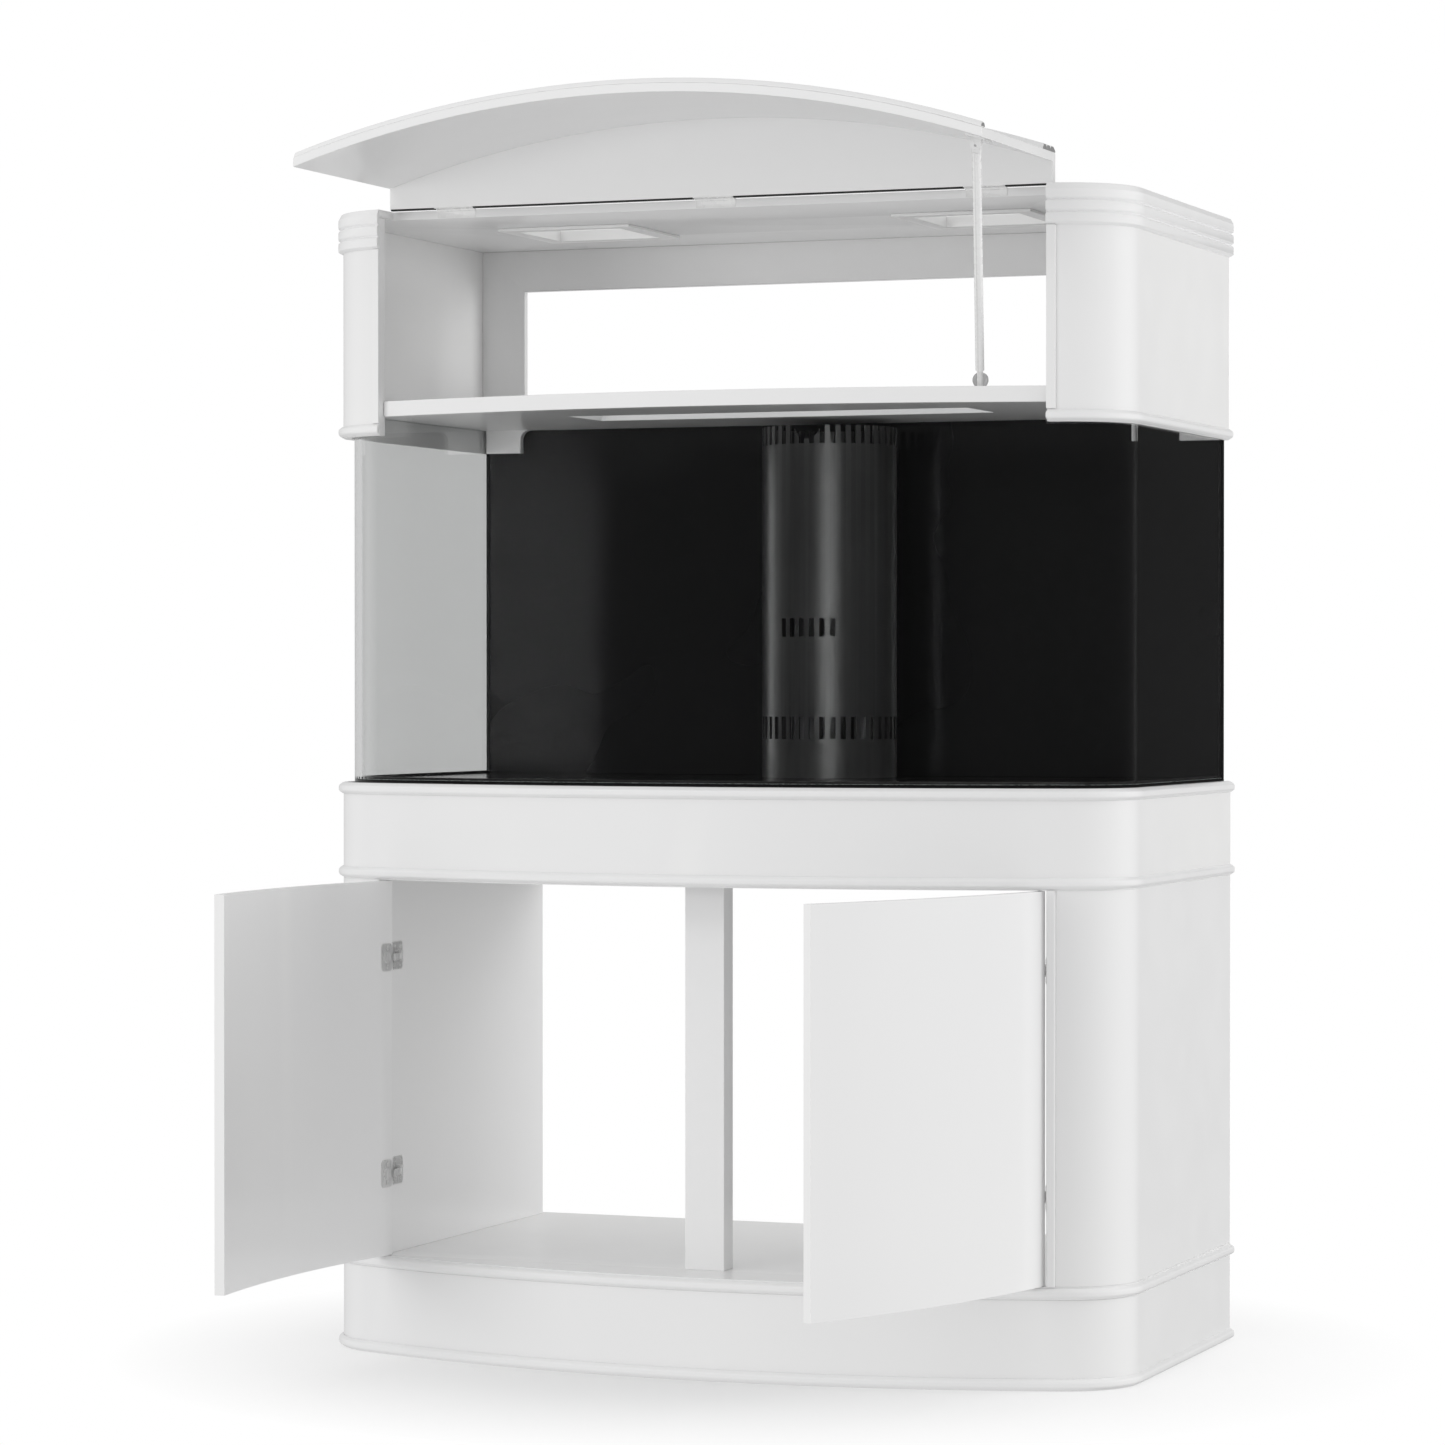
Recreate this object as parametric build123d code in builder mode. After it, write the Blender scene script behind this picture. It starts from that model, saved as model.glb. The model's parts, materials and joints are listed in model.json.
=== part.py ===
from build123d import *

import os
from math import sqrt

# Bow-front aquarium on a cabinet stand, under a hood whose front lifts up.
# Millimetres. +Z is up, the front faces -Y, and the origin is the middle of the underside.

# ---- Plan: straight sides, rounded front corners and a bowed front --------------------------
BODY_WIDTH = 1200.0
BODY_DEPTH = 668.0  # at the middle of the bow
BOW_RADIUS = 1612.8
CORNER_RADIUS = 108.0
BACK = BODY_DEPTH / 2  # Y of the back plane
BOW_CENTRE = BOW_RADIUS - BODY_DEPTH  # how far the bow's centre lies behind the back plane
PLENTY = 2000.0  # larger than the object, for masks
OVERCUT = 1.0  # how far a cut runs on past the face it leaves by

# ---- Heights ---------------------------------------------------------------------------------
FLOOR_TOP = 142.0
FLOOR_THICK = 18.0
DOOR_HEAD = 682.0
STAND_TOP = 815.0
DECK_THICK = 18.0
TANK_FLOOR = 825.0
TANK_RIM = 1356.0
HOOD_BOTTOM = 1320.5
HOOD_TOP = 1645.0
TOP_THICK = 12.0
CEILING = HOOD_TOP - TOP_THICK

# ---- Walls -----------------------------------------------------------------------------------
BAND_THICK = 15.0
SKIN_THICK = 12.0
STILE_INNER = 501.0  # half the width of the door and lid openings
STILE_WIDTH = 12.0
STILE_DEPTH = 18.0
STILE_PROUD = 4.0
STILE_ROUND = 3.0  # on the stile's front edges
STILE_OUTER = STILE_INNER + STILE_WIDTH
PARTITION_FACE = 494.0
PARTITION_THICK = 12.0
PARTITION_FRONT = 566.0
POST_WIDTH = 58.6
POST_BACK = 551.0
POST_FRONT = 586.0

# ---- Mouldings -------------------------------------------------------------------------------
BEAD_PROUD = 7.25
BEAD_SLOPE = 5.0
BEAD_HEIGHT = 17.5
BASE_BEAD = 0.0
FLOOR_BEAD = 123.5
HEAD_BEAD = 682.5
TOP_BEAD = 803.5
TOP_LIP = 6.0
CROWN_BOTTOM = 1588.0
CROWN_FIRST = 1591.6  # where the lowest bead's flat starts
CROWN_FLAT = 11.4
CROWN_PITCH = 16.8
CROWN_COUNT = 3
CROWN_VALLEY = 3.0  # how far the grooves between the beads stand out
CROWN_CAP = 2.5  # how far the cap still stands out at the very top

# ---- Doors and their hinges ------------------------------------------------------------------
DOOR_THICK = 14.0
DOOR_BOTTOM = 142.6
DOOR_TOP = 681.0
DOOR_GAP = 1.0  # half the gap where the doors meet
PIVOT_X = 490.5
PIVOT_PIN_RADIUS = 3.0
PIVOT_PIN_BITE = 8.0
PIN_CLEARANCE = 0.05
PIN_END_GAP = 1.0
LEFT_OPEN = 82.8  # degrees open in the pose that is modelled
RIGHT_OPEN = 61.5
FULL_OPEN = 90.0
HINGE_HEIGHTS = (260.5, 571.0)
PLATE_THICK = 1.5
PLATE_HEIGHT = 40.0
PLATE_BACK = 529.0
PLATE_FRONT = 564.0
ARM_AXIS_X = 486.5
ARM_AXIS_DEPTH = 552.0
ARM_LENGTH = 38.0
ARM_THICK = 3.0
ARM_HEIGHT = 10.0
ARM_KNUCKLE = 4.0
ARM_PIN = 1.5
ARM_GAP = 0.3
ARM_RATIO = 0.3  # degrees the arm turns for each degree of door
ARM_AT_FULL = 12.0  # arm angle off the side wall with the door fully open
LUG_THICK = 3.0
SCREW_RADIUS = 3.2
SCREW_HEAD = 1.6
SCREW_SLOT = 0.9
PLATE_SCREWS = (11.0, 13.3)  # half the spacing of the plate's screws, along and up
DOOR_PLATE_X = 476.0
DOOR_PLATE_WIDTH = 26.0
CUP_RADIUS = 8.0
CUP_HEIGHT = 3.0

# ---- Tank ------------------------------------------------------------------------------------
GLASS_HALF = 593.0
GLASS_DEPTH = 641.0
GLASS_CORNER = 100.0
GLASS_THICK = 10.0
PANE_BACK = 10.0
PANE_FRONT = 20.0
PANE_TOP = 1364.0
PANE_CORNER = 12.0
SEAM = 4.0
GLASS_CLEAR = 1.0

# ---- Overflow --------------------------------------------------------------------------------
TUBE_X = 18.0
TUBE_DEPTH = 121.0
TUBE_RADIUS = 100.0
TUBE_WALL = 4.0
TUBE_TOP = 1344.0
SLOT_COUNT = 40
SLOT_WIDTH = 8.0
COMB_BOTTOM = 1317.0
MID_SLOTS = 6
MID_BOTTOM = 1033.0
MID_TOP = 1060.0
LOW_BOTTOM = 882.0
LOW_TOP = 915.0
NOTCH_RADIUS = 20.0
DRAIN = (-17.0, 121.0, 21.0, 3.0, 1300.0)  # x, depth, radius, wall, top
RETURN = (66.0, 108.0, 13.0, 2.5, 1320.0)
FLANGE_THICK = 6.0
FLANGE_EXTRA = 12.0
NUT_THICK = 10.0
TAIL = 20.0

# ---- Hood ------------------------------------------------------------------------------------
HOOD_BACK = 10.0
SHELF_THICK = 14.0
SHELF_INSET = 12.5
SHELF_LIP = 22.0
SHELF_LIP_INSET = 25.0
SHELF_CLEAR = 1.0  # between the shelf and the stiles
SHELF_SLOT = (616.0, 220.0, 350.0)  # width, nearest and farthest depth
HOOD_PANEL_BACK = 20.0
HOOD_PANEL_THICK = 12.0
WINDOW_HALF = 517.0
WINDOW_BOTTOM = 1395.0
WINDOW_TOP = 1570.0
LEG_INNER = 523.0
LEG_OUTER = 581.0
NOTCH_CORNER = 15.0
FRAME_X = 306.0
FRAME_DEPTH = 273.0
FRAME_OPENING = (160.0, 155.0)
FRAME_FLANGE = (208.0, 203.0)
FRAME_COLLAR = 3.0
FRAME_DROP = 4.0

# ---- Lid -------------------------------------------------------------------------------------
LID_HALF = 499.5
LID_AXIS_DEPTH = 544.0
LID_GAP = 2.6  # from the lid's axis to each panel edge
LID_OPEN = 90.0
KNUCKLE_RADIUS = 2.0
LEAF_THICK = 1.0
LEAF_DROP = 11.0
LEAF_LENGTH = 60.0
LID_HINGE_PIN = 1.0
LID_HINGE_X = (-400.0, 0.0, 400.0)
KNUCKLES = 5

# ---- Prop rod --------------------------------------------------------------------------------
ROD_TOP = (465.0, 785.0, 1678.0)  # x, depth, height of its pivot
ROD_FOOT = (402.0, 577.0, 1383.5)
ROD_RADIUS = 6.0
ROD_NECK = 4.0
ROD_NECK_LENGTH = 12.0
ROD_NECK_END = 13.0  # how far the neck runs on past the foot point
ROD_EYE = 6.5  # outer radius of the flat eye
ROD_EYE_THICK = 5.0
ROD_SHOULDER = 12.0  # where the round bar starts, from the pivot
ROD_PIN = 2.0
ROD_STOWED = (-0.985, 0.0, 0.17)  # the way it points once folded against the lid
ROD_LUG = 7.0  # radius of the bracket's lugs
ROD_LUG_THICK = 2.5
BRACKET_SIZE = (36.0, 30.0)
REST_X = 395.0
REST_DEPTH = 551.0  # of the rest's back face
REST_RADIUS = 11.0
REST_HOLE = 2.5
REST_THICK = 5.0
REST_BASE = (30.0, 12.0)
REST_BASE_THICK = 2.0

os.makedirs("parts", exist_ok=True)


def save(builder, name):
    """Label a finished piece and write it."""
    builder.part.label = name
    export_step(builder.part, f"parts/{name}.step")


# ---- Plan shapes -----------------------------------------------------------------------------


def outline(half_width, depth, corner_radius, back=0.0):
    """The U from the back left corner, round the bow, to the back right corner."""
    corner_x = half_width - corner_radius
    reach = BOW_CENTRE + depth - corner_radius
    side = sqrt(reach**2 - corner_x**2) - BOW_CENTRE
    across, along = corner_x / reach, (BOW_CENTRE + side) / reach
    middle = sqrt((1 + across) ** 2 + along**2)
    tangent = (corner_x + corner_radius * across, side + corner_radius * along)
    halfway = (
        corner_x + corner_radius * (1 + across) / middle,
        side + corner_radius * along / middle,
    )

    def at(x, from_back):
        return (x, BACK - from_back)

    with BuildLine() as curve:
        Line(at(-half_width, back), at(-half_width, side))
        ThreePointArc(at(-half_width, side), at(-halfway[0], halfway[1]), at(-tangent[0], tangent[1]))
        ThreePointArc(at(-tangent[0], tangent[1]), at(0, depth), at(*tangent))
        ThreePointArc(at(*tangent), at(*halfway), at(half_width, side))
        Line(at(half_width, side), at(half_width, back))
    return curve.line


def footprint(half_width, depth, corner_radius, back=0.0):
    """The outline closed by a straight back."""
    with BuildSketch() as face:
        with BuildLine():
            add(outline(half_width, depth, corner_radius, back))
            Line((half_width, BACK - back), (-half_width, BACK - back))
        make_face()
    return face.sketch


def body(inset=0.0, back=0.0):
    """The cabinet's footprint, drawn in by an inset all round."""
    return footprint(BODY_WIDTH / 2 - inset, BODY_DEPTH - inset, CORNER_RADIUS - inset, back)


def tank(inset=0.0, back=PANE_BACK):
    """The tank's footprint, drawn in by an inset all round."""
    return footprint(GLASS_HALF - inset, GLASS_DEPTH - inset, GLASS_CORNER - inset, back)


def wall(outer, inner, back=0.0, shape=body):
    """A band that follows the sides and the bow, open at the back."""
    with BuildSketch() as band:
        add(shape(outer, back))
        add(shape(inner, back - OVERCUT), mode=Mode.SUBTRACT)
    return band.sketch


def between(sketch, near, far, side=0):
    """The part of a sketch from near to far off the middle, on one side or (side=0) on both."""
    with BuildSketch() as kept:
        add(sketch)
        middles = [side] if side else [-1, 1]
        with Locations(*[(way * (near + far) / 2, 0) for way in middles]):
            Rectangle(far - near, PLENTY, mode=Mode.INTERSECT)
    return kept.sketch


def middle_of(sketch, half):
    """The part of a sketch within half of the middle."""
    with BuildSketch() as kept:
        add(sketch)
        Rectangle(2 * half, PLENTY, mode=Mode.INTERSECT)
    return kept.sketch


def upright(depth):
    """A plane that faces the front, at a depth from the back, whose second axis is height."""
    return Plane(origin=(0, BACK - depth, 0), x_dir=(1, 0, 0), z_dir=(0, -1, 0))


def swung(x, y, z, about, degrees_turned):
    """The frame that the closed model's own frame becomes once it is turned about a point."""
    turn = Rotation(*[degrees_turned * part for part in about])
    return Plane(Location((x, y, z)) * turn * Location((-x, -y, -z)))


def slab(sketch, bottom, top, frame=Plane.XY, mode=Mode.ADD):
    """Extrude a plan sketch from one height to another, in the part that is being built."""
    with BuildSketch(frame.offset(bottom)) as profile:
        add(sketch)
    extrude(profile.sketch, amount=top - bottom, mode=mode)


def bead_points(bottom, height):
    """The outside of one bead: out, up the flat and back in."""
    return [
        (0, bottom),
        (BEAD_PROUD, bottom + BEAD_SLOPE),
        (BEAD_PROUD, bottom + height - BEAD_SLOPE),
        (0, bottom + height),
    ]


def on(frame, local):
    """A plane of the closed model, carried to where a swung frame puts it."""
    return Plane(frame.location * local.location)


def moulding(points, keep, frame=Plane.XY, back=0.0):
    """Sweep a section round the body's outline and keep the stretch that keep describes."""
    path = outline(BODY_WIDTH / 2, BODY_DEPTH, CORNER_RADIUS, back).moved(frame.location)
    start = Plane(origin=(-BODY_WIDTH / 2, BACK - back, 0), x_dir=(-1, 0, 0), z_dir=(0, 1, 0))
    with BuildSketch(on(frame, start)) as section:
        with BuildLine():
            Polyline(*points, close=True)
        make_face()
    sweep(section.sketch, path=path)
    near, far = keep
    if near > 0:
        Box(2 * near, 2 * PLENTY, 2 * PLENTY, mode=Mode.SUBTRACT)
    if far < BODY_WIDTH:
        Box(2 * far, 2 * PLENTY, 2 * PLENTY, mode=Mode.INTERSECT)


ALL_ROUND = (0.0, BODY_WIDTH)
COLUMNS = (STILE_INNER, BODY_WIDTH)
FRONT = (0.0, LID_HALF)


# ---- Stand -----------------------------------------------------------------------------------


def make_stand():
    bead_sections = {
        "base_bead": bead_points(BASE_BEAD, BEAD_HEIGHT),
        "floor_bead": bead_points(FLOOR_BEAD, BEAD_HEIGHT),
        "door_head_bead": bead_points(HEAD_BEAD, BEAD_HEIGHT),
        "tank_rim_bead": [
            (0, TOP_BEAD),
            (BEAD_PROUD, TOP_BEAD + BEAD_SLOPE),
            (BEAD_PROUD, TOP_BEAD + BEAD_HEIGHT - BEAD_SLOPE),
            (0, TOP_BEAD + BEAD_HEIGHT),
            (-TOP_LIP, TOP_BEAD + BEAD_HEIGHT),
            (-TOP_LIP, STAND_TOP),
            (0, STAND_TOP),
        ],
    }
    for name, points in bead_sections.items():
        with BuildPart() as bead:
            moulding(points, ALL_ROUND)
        save(bead, name)

    with BuildPart() as base_board:
        slab(body(BAND_THICK, BAND_THICK), 0, BAND_THICK)
    save(base_board, "base_board")

    with BuildPart() as plinth_band:
        slab(wall(0, BAND_THICK), 0, FLOOR_TOP - FLOOR_THICK)
    save(plinth_band, "plinth_band")

    rail_length = BODY_WIDTH - 2 * BAND_THICK
    for name, low, high in (
        ("plinth_rear_rail", 0, FLOOR_TOP - FLOOR_THICK),
        ("frieze_rear_rail", DOOR_HEAD, STAND_TOP),
    ):
        with BuildPart() as rail:
            with BuildSketch(Plane.XY.offset(low)):
                with Locations((0, BACK - BAND_THICK / 2)):
                    Rectangle(rail_length, BAND_THICK)
            extrude(amount=high - low)
        save(rail, name)

    with BuildPart() as cabinet_floor:
        slab(body(), FLOOR_TOP - FLOOR_THICK, FLOOR_TOP)
        with Locations(*[(way * PIVOT_X, face_y(PIVOT_X, DOOR_THICK / 2), FLOOR_TOP) for way in (-1, 1)]):
            Hole(PIVOT_PIN_RADIUS + PIN_CLEARANCE, PIVOT_PIN_BITE + PIN_END_GAP)
    save(cabinet_floor, "cabinet_floor")

    with BuildPart() as frieze_band:
        slab(wall(0, BAND_THICK), DOOR_HEAD, STAND_TOP)
        with Locations(*[(way * PIVOT_X, face_y(PIVOT_X, DOOR_THICK / 2), DOOR_HEAD) for way in (-1, 1)]):
            pin_room = 2 * (PIVOT_PIN_BITE + PIN_END_GAP)
            Cylinder(PIVOT_PIN_RADIUS + PIN_CLEARANCE, pin_room, mode=Mode.SUBTRACT)
    save(frieze_band, "frieze_band")

    with BuildPart() as top_deck:
        slab(body(BAND_THICK, BAND_THICK), STAND_TOP - DECK_THICK, STAND_TOP)
        with BuildSketch(Plane.XY.offset(STAND_TOP)):
            with Locations((TUBE_X, BACK - TUBE_DEPTH)):
                RectangleRounded(TUBE_RADIUS * 2, TUBE_RADIUS, TUBE_RADIUS / 5)
        extrude(amount=-DECK_THICK, mode=Mode.SUBTRACT)
    save(top_deck, "top_deck")

    with BuildPart() as centre_post:
        with BuildSketch(Plane.XY.offset(FLOOR_TOP)):
            with Locations((0, BACK - (POST_BACK + POST_FRONT) / 2)):
                Rectangle(POST_WIDTH, POST_FRONT - POST_BACK)
        extrude(amount=STAND_TOP - DECK_THICK - FLOOR_TOP)
        fillet(centre_post.edges().filter_by(Axis.Z), 1.0)
    save(centre_post, "centre_post")

    for name, side in (("left", -1), ("right", 1)):
        with BuildPart() as side_panel:
            slab(between(wall(0, SKIN_THICK), STILE_OUTER, BODY_WIDTH, side), FLOOR_TOP, DOOR_HEAD)
        save(side_panel, f"{name}_side_panel")

        with BuildPart() as stile:
            strip = wall(-STILE_PROUD, STILE_DEPTH)
            slab(between(strip, STILE_INNER, STILE_OUTER, side), FLOOR_TOP, DOOR_HEAD)
            front_edges = stile.edges().filter_by(Axis.Z).sort_by(Axis.Y)[:2]
            fillet(front_edges, STILE_ROUND)
        save(stile, f"{name}_stile")

        with BuildPart() as partition:
            with BuildSketch(Plane.XY.offset(FLOOR_TOP)):
                middle_x = side * (PARTITION_FACE + PARTITION_THICK / 2)
                with Locations((middle_x, BACK - (BAND_THICK + PARTITION_FRONT) / 2)):
                    Rectangle(PARTITION_THICK, PARTITION_FRONT - BAND_THICK)
            extrude(amount=STAND_TOP - DECK_THICK - FLOOR_TOP)
        save(partition, f"{name}_partition")


# ---- Doors -----------------------------------------------------------------------------------


def face_y(x, inset=0.0):
    """Y of the bow at x, drawn in by an inset."""
    return BACK + BOW_CENTRE - sqrt((BOW_RADIUS - inset) ** 2 - x**2)


def bow_plane(x, height, inset):
    """A plane on the inner side of the bow that faces inwards, whose second axis is height."""
    y = face_y(x, inset)
    inward = (-x, BACK + BOW_CENTRE - y, 0)
    return Plane(origin=(x, y, height), x_dir=(-inward[1], inward[0], 0), z_dir=inward)


def screw_head(plane):
    """A slotted pan head standing on a plane, in the part that is being built."""
    with BuildSketch(plane) as head:
        Circle(SCREW_RADIUS)
    extrude(head.sketch, amount=SCREW_HEAD)
    with BuildSketch(plane.offset(SCREW_HEAD)) as slot:
        Rectangle(2 * SCREW_RADIUS + OVERCUT, SCREW_SLOT)
    extrude(slot.sketch, amount=-SCREW_HEAD / 2, mode=Mode.SUBTRACT)


def make_door(name, side, opened):
    pivot = (side * PIVOT_X, face_y(PIVOT_X, DOOR_THICK / 2))
    frame = swung(*pivot, 0, (0, 0, 1), side * opened)
    ends = ((DOOR_BOTTOM, 1), (DOOR_TOP, -1))
    with BuildPart() as door:
        slab(between(wall(0, DOOR_THICK), DOOR_GAP, PIVOT_X, side), DOOR_BOTTOM, DOOR_TOP, frame)
        with BuildSketch(frame.offset(DOOR_BOTTOM)):
            with Locations(pivot):
                Circle(DOOR_THICK / 2)
        extrude(amount=DOOR_TOP - DOOR_BOTTOM)
        for end, way in ends:
            with BuildSketch(frame.offset(end)):
                with Locations(pivot):
                    Circle(PIVOT_PIN_RADIUS)
            extrude(amount=way * 2 * PIVOT_PIN_BITE, mode=Mode.SUBTRACT)
    save(door, f"{name}_door")

    with BuildPart() as pivots:
        for end, way in ends:
            with BuildSketch(frame.offset(end - way * PIVOT_PIN_BITE)):
                with Locations(pivot):
                    Circle(PIVOT_PIN_RADIUS)
            extrude(amount=way * 3 * PIVOT_PIN_BITE)
    save(pivots, f"{name}_door_pivots")

    with BuildPart() as cups:
        for height in HINGE_HEIGHTS:
            plane = on(frame, bow_plane(side * DOOR_PLATE_X, height, DOOR_THICK))
            with BuildSketch(plane):
                RectangleRounded(DOOR_PLATE_WIDTH, PLATE_HEIGHT, DOOR_PLATE_WIDTH / 4)
            extrude(amount=PLATE_THICK)
            with BuildSketch(plane):
                Circle(CUP_RADIUS)
            extrude(amount=CUP_HEIGHT)
        slab(wall(0, DOOR_THICK), DOOR_BOTTOM, DOOR_TOP, frame, Mode.SUBTRACT)
    save(cups, f"{name}_door_hinge_cups")


def arm_axis(side):
    return (side * ARM_AXIS_X, BACK - ARM_AXIS_DEPTH)


def make_hinge_arms(name, side, opened):
    """The two arms that swing towards a door as it opens."""
    axis = arm_axis(side)
    frame = swung(*axis, 0, (0, 0, 1), -side * (ARM_AT_FULL + ARM_RATIO * (FULL_OPEN - opened)))
    with BuildPart() as arms:
        for height in HINGE_HEIGHTS:
            with BuildSketch(frame.offset(height - ARM_HEIGHT / 2)):
                with Locations(axis):
                    Circle(ARM_KNUCKLE)
                with Locations((axis[0], axis[1] - ARM_LENGTH / 2)):
                    Rectangle(ARM_THICK, ARM_LENGTH)
                with Locations(axis):
                    Circle(ARM_PIN + PIN_CLEARANCE, mode=Mode.SUBTRACT)
            extrude(amount=ARM_HEIGHT)
    save(arms, f"{name}_hinge_arms")


def partition_plane(side, height):
    """A plane on a hinge plate's seat that faces the bay, whose first axis runs along Y."""
    seat = BACK - (PLATE_BACK + PLATE_FRONT) / 2
    return Plane(origin=(side * PARTITION_FACE, seat, height), x_dir=(0, 1, 0), z_dir=(-side, 0, 0))


def make_hinge_plates():
    """The plates screwed to the partitions, with the lugs and pins that hold the arms."""
    plate_width = PLATE_FRONT - PLATE_BACK
    lug_width = PARTITION_FACE - PLATE_THICK - ARM_AXIS_X + ARM_KNUCKLE
    lug_start = ARM_HEIGHT / 2 + ARM_GAP
    spots = [(side, height) for side in (-1, 1) for height in HINGE_HEIGHTS]

    with BuildPart() as plates:
        for side, height in spots:
            with BuildSketch(partition_plane(side, height)):
                RectangleRounded(plate_width, PLATE_HEIGHT, PLATE_HEIGHT / 8)
            extrude(amount=PLATE_THICK)
            lug_middle = side * (PARTITION_FACE - PLATE_THICK - lug_width / 2)
            for way in (-1, 1):
                with BuildSketch(Plane.XY.offset(height + way * lug_start)):
                    with Locations((lug_middle, arm_axis(side)[1])):
                        Rectangle(lug_width, 2 * ARM_KNUCKLE)
                extrude(amount=way * LUG_THICK)
            with Locations((*arm_axis(side), height)):
                Cylinder(ARM_PIN, PLATE_HEIGHT, mode=Mode.SUBTRACT)
    save(plates, "door_hinge_plates")

    with BuildPart() as pins:
        for side, height in spots:
            with Locations((*arm_axis(side), height)):
                Cylinder(ARM_PIN, 2 * (lug_start + LUG_THICK))
    save(pins, "door_hinge_arm_pins")

    with BuildPart() as screws:
        for side, height in spots:
            seat = partition_plane(side, height).offset(PLATE_THICK)
            for along in (-1, 1):
                for up in (-1, 1):
                    screw_head(on(seat, Plane((along * PLATE_SCREWS[0], up * PLATE_SCREWS[1], 0))))
    save(screws, "door_hinge_screws")


# ---- Tank ------------------------------------------------------------------------------------


def make_tank():
    with BuildPart() as bottom_glass:
        slab(tank(), STAND_TOP, TANK_FLOOR)
        for x, depth, radius, *_ in (DRAIN, RETURN):
            with Locations((x, BACK - depth, TANK_FLOOR)):
                Cylinder(radius, PLENTY, mode=Mode.SUBTRACT)
    save(bottom_glass, "tank_bottom_glass")

    with BuildPart() as bent_glass:
        slab(wall(0, GLASS_THICK, PANE_FRONT, tank), TANK_FLOOR, TANK_RIM)
    save(bent_glass, "tank_bent_glass")

    with BuildPart() as back_pane:
        with BuildSketch(upright(PANE_BACK)):
            with Locations((0, (TANK_FLOOR + PANE_TOP) / 2)):
                Rectangle(2 * GLASS_HALF, PANE_TOP - TANK_FLOOR)
        extrude(amount=PANE_FRONT - PANE_BACK)
        top_corners = back_pane.edges().filter_by(Axis.Y).group_by(Axis.Z)[-1]
        fillet(top_corners, PANE_CORNER)
    save(back_pane, "tank_back_pane")

    seam_inner = GLASS_THICK + SEAM
    with BuildPart() as seams:
        slab(wall(GLASS_THICK, seam_inner, PANE_FRONT, tank), TANK_FLOOR, TANK_FLOOR + SEAM)
        with BuildSketch(Plane.XY.offset(TANK_FLOOR + SEAM)):
            for side in (-1, 1):
                corner = side * (GLASS_HALF - GLASS_THICK)
                with BuildLine():
                    Polyline(
                        (corner, BACK - PANE_FRONT),
                        (corner - side * SEAM, BACK - PANE_FRONT),
                        (corner, BACK - PANE_FRONT - SEAM),
                        close=True,
                    )
                make_face()
        extrude(amount=HOOD_BOTTOM - TANK_FLOOR - 2 * SEAM)
    save(seams, "silicone_seams")


def make_overflow():
    middle = (TUBE_X, BACK - TUBE_DEPTH)
    with BuildPart() as tube:
        with BuildSketch(Plane.XY.offset(TANK_FLOOR)):
            with Locations(middle):
                Circle(TUBE_RADIUS)
                Circle(TUBE_RADIUS - TUBE_WALL, mode=Mode.SUBTRACT)
        extrude(amount=TUBE_TOP - TANK_FLOOR)
        step = 360 / SLOT_COUNT
        first = -90 + step / 2
        middle_first = -90 - step * (MID_SLOTS - 1) / 2
        for low, high, start, count in (
            (COMB_BOTTOM, TUBE_TOP + OVERCUT, first, SLOT_COUNT),
            (MID_BOTTOM, MID_TOP, middle_first, MID_SLOTS),
            (LOW_BOTTOM, LOW_TOP, first, SLOT_COUNT),
        ):
            with Locations((*middle, (low + high) / 2)):
                with PolarLocations(TUBE_RADIUS, count, start, step * count):
                    Box(4 * TUBE_WALL, SLOT_WIDTH, high - low, mode=Mode.SUBTRACT)
        with BuildSketch(upright(TUBE_DEPTH)):
            with Locations((TUBE_X, TUBE_TOP)):
                Circle(NOTCH_RADIUS)
        extrude(amount=2 * TUBE_RADIUS, mode=Mode.SUBTRACT)
    save(tube, "overflow_tube")

    with BuildPart() as bulkheads:
        for x, depth, radius, thick, _ in (DRAIN, RETURN):
            for low, high, outer in (
                (STAND_TOP - TAIL, TANK_FLOOR, radius),
                (TANK_FLOOR, TANK_FLOOR + FLANGE_THICK, radius + FLANGE_EXTRA),
            ):
                with BuildSketch(Plane.XY.offset(low)):
                    with Locations((x, BACK - depth)):
                        Circle(outer)
                        Circle(radius - 2 * thick, mode=Mode.SUBTRACT)
                extrude(amount=high - low)
    save(bulkheads, "tank_bulkheads")

    with BuildPart() as nuts:
        for x, depth, radius, *_ in (DRAIN, RETURN):
            with BuildSketch(Plane.XY.offset(STAND_TOP - NUT_THICK)):
                with Locations((x, BACK - depth)):
                    RegularPolygon(radius + FLANGE_EXTRA, 6)
                    Circle(radius, mode=Mode.SUBTRACT)
            extrude(amount=NUT_THICK)
    save(nuts, "bulkhead_nuts")

    for name, (x, depth, radius, thick, top) in (("drain", DRAIN), ("return", RETURN)):
        with BuildPart() as pipe:
            with BuildSketch(Plane.XY.offset(TANK_FLOOR + FLANGE_THICK)):
                with Locations((x, BACK - depth)):
                    Circle(radius)
                    Circle(radius - thick, mode=Mode.SUBTRACT)
            extrude(amount=top - TANK_FLOOR - FLANGE_THICK)
        save(pipe, f"{name}_pipe")


# ---- Hood ------------------------------------------------------------------------------------


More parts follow.
